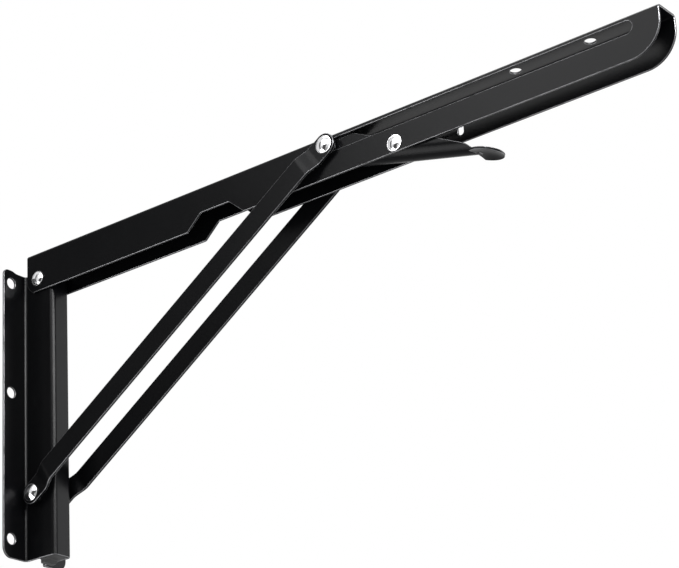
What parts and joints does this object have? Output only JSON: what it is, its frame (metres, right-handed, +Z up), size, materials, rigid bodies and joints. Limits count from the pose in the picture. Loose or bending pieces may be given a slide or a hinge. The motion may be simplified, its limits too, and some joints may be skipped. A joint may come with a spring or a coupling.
{
  "type": "folding shelf bracket",
  "caption": "Wall-mounted shelf bracket whose arm folds down when its lever is pressed, with paired sliding braces.",
  "frame": {"origin": "centre of the four corner wall screw holes, on the wall face of the plate", "axes": "+X away from the wall along the arm, +Z up, Y across the bracket"},
  "size_m": [0.5047, 0.057, 0.2181],
  "materials": {
    "black_paint": "satin",
    "bright_rivet": "polished",
    "plain_steel": "satin",
    "black_nylon": "matte"
  },
  "bodies": {
    "base": {"wall_plate": "black_paint", "channel_end_block": "black_nylon", "arm_pivot_rivet": "bright_rivet", "arm_pivot_spacer": "plain_steel", "brace_pivot_rivet": "bright_rivet", "brace_pivot_spacer": "plain_steel", "near_pivot_collar": "plain_steel", "far_pivot_collar": "plain_steel"},
    "arm": {"arm_channel": "black_paint", "lever_pivot_rivet": "bright_rivet", "lever_pivot_spacer": "plain_steel", "lever_spring": "plain_steel"},
    "braces": {"near_brace": "black_paint", "far_brace": "black_paint", "near_brace_stud": "bright_rivet", "far_brace_stud": "bright_rivet"},
    "slide_pin": {"near_slide_bush": "plain_steel", "far_slide_bush": "plain_steel"},
    "lever": {"release_lever": "black_paint"}
  },
  "joints": [
    {"name": "arm_fold", "type": "hinge", "parent": "base", "child": "arm", "pos_m": [0.015, 0, 0.0931], "axis": [0, 1, 0], "range_deg": [0, 90]},
    {"name": "brace_swing", "type": "hinge", "parent": "base", "child": "braces", "pos_m": [0.0118, 0, -0.0595], "axis": [0, 1, 0], "range_deg": [0, 120.15]},
    {"name": "pin_slide", "type": "slide", "parent": "arm", "child": "slide_pin", "axis": [1, 0, 0], "range_m": [0, 0.2045]},
    {"name": "lever_release", "type": "hinge", "parent": "arm", "child": "lever", "pos_m": [0.3175, 0, 0.0898], "axis": [0, -1, 0], "range_deg": [0, 15], "stiffness_Nm_per_rad": 0.3, "springref_deg": -8.59, "deforming": ["lever_spring"]}
  ],
  "couplings": [
    {"joint": "brace_swing", "follows": "arm_fold", "ratio": 1.3328},
    {"joint": "pin_slide", "follows": "arm_fold", "m_per_rad": 0.12977}
  ]
}
